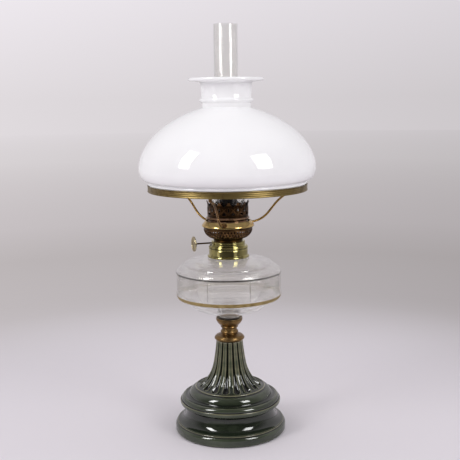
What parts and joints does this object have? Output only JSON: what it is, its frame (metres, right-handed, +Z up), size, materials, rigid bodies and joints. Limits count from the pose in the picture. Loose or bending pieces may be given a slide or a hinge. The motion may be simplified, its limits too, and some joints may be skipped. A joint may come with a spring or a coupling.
{
  "type": "kerosene table lamp",
  "caption": "Kerosene table lamp: fluted pottery foot, pressed glass font with a round wick burner, clear chimney and an opal glass shade on a brass holder.",
  "frame": {"origin": "middle of the foot's underside, on the table", "axes": "+Z up along the lamp's axis, -Y to the front, +X to the right; the wick knob points to the left and a little to the front"},
  "size_m": [0.2654, 0.2654, 0.6174],
  "materials": {
    "glazed_pottery": "dark olive green glaze, glossy, pooled darker in the grooves",
    "plaster": "white casting plaster, matt",
    "dark_brass": "aged brown brass, satin",
    "bright_brass": "lacquered yellow brass, polished and lightly aged",
    "arm_brass": "drawn and rolled brass, dull and lightly aged",
    "knob_brass": "stamped brass, pale and worn",
    "brown_brass": "brass darkened brown by heat",
    "clear_glass": "pressed clear glass with a gilt band",
    "chimney_glass": "thin blown clear glass",
    "opal_glass": "bluish white opal glass, glossy",
    "rubber_seal": "dark brown sealing ring",
    "cotton_wick": "woven cotton"
  },
  "bodies": {
    "root": {"foot": "glazed_pottery", "column_plaster": "plaster", "column_collar": "dark_brass", "connector_stud": "bright_brass", "font_cup": "dark_brass", "cup_plaster": "plaster", "font": "clear_glass", "font_collar": "bright_brass", "collar_plaster": "plaster"},
    "gasket": {"burner_gasket": "rubber_seal"},
    "burner": {"burner_base": "bright_brass", "wick_tube": "dark_brass", "draught_tube": "dark_brass", "wheel_box": "dark_brass", "burner_bowl": "brown_brass", "burner_deck": "brown_brass"},
    "winder": {"wick_spindle": "dark_brass", "wick_wheels": "bright_brass", "wick_knob": "knob_brass"},
    "wick": {"wick": "cotton_wick"},
    "gallery": {"gallery_base": "bright_brass", "gallery_crown": "brown_brass", "gallery_springs": "dark_brass"},
    "chimney": {"chimney": "chimney_glass"},
    "shade_holder": {"holder_hub": "bright_brass", "holder_arm_front": "arm_brass", "holder_arm_left": "arm_brass", "holder_arm_right": "arm_brass", "arm_rivets": "brown_brass", "holder_ring": "arm_brass"},
    "shade": {"shade": "opal_glass"}
  },
  "joints": [
    {"name": "burner_rise", "type": "slide", "parent": "root", "child": "gasket", "axis": [0, 0, 1], "range_m": [0, 0.00725]},
    {"name": "burner_turn", "type": "hinge", "parent": "gasket", "child": "burner", "pos_m": [0, 0, 0.2863], "axis": [0, 0, 1], "range_deg": [0, 1440]},
    {"name": "wick_turn", "type": "hinge", "parent": "burner", "child": "winder", "pos_m": [-0.00481, 0.01479, 0.29215], "axis": [-0.9511, -0.309, 0], "range_deg": [-165, 85]},
    {"name": "wick_rise", "type": "slide", "parent": "burner", "child": "wick", "axis": [0, 0, 1], "range_m": [-0.012, 0.0065]},
    {"name": "gallery_lift", "type": "slide", "parent": "burner", "child": "gallery", "axis": [0, 0, 1], "range_m": [0, 0.1]},
    {"name": "chimney_lift", "type": "slide", "parent": "gallery", "child": "chimney", "axis": [0, 0, 1], "range_m": [0, 0.3]},
    {"name": "holder_lift", "type": "slide", "parent": "burner", "child": "shade_holder", "axis": [0, 0, 1], "range_m": [0, 0.3]},
    {"name": "shade_lift", "type": "slide", "parent": "shade_holder", "child": "shade", "axis": [0, 0, 1], "range_m": [0, 0.25]}
  ],
  "couplings": [
    {"joint": "burner_rise", "follows": "burner_turn", "m_per_rad": 0.00028648},
    {"joint": "wick_rise", "follows": "wick_turn", "m_per_rad": 0.004}
  ]
}
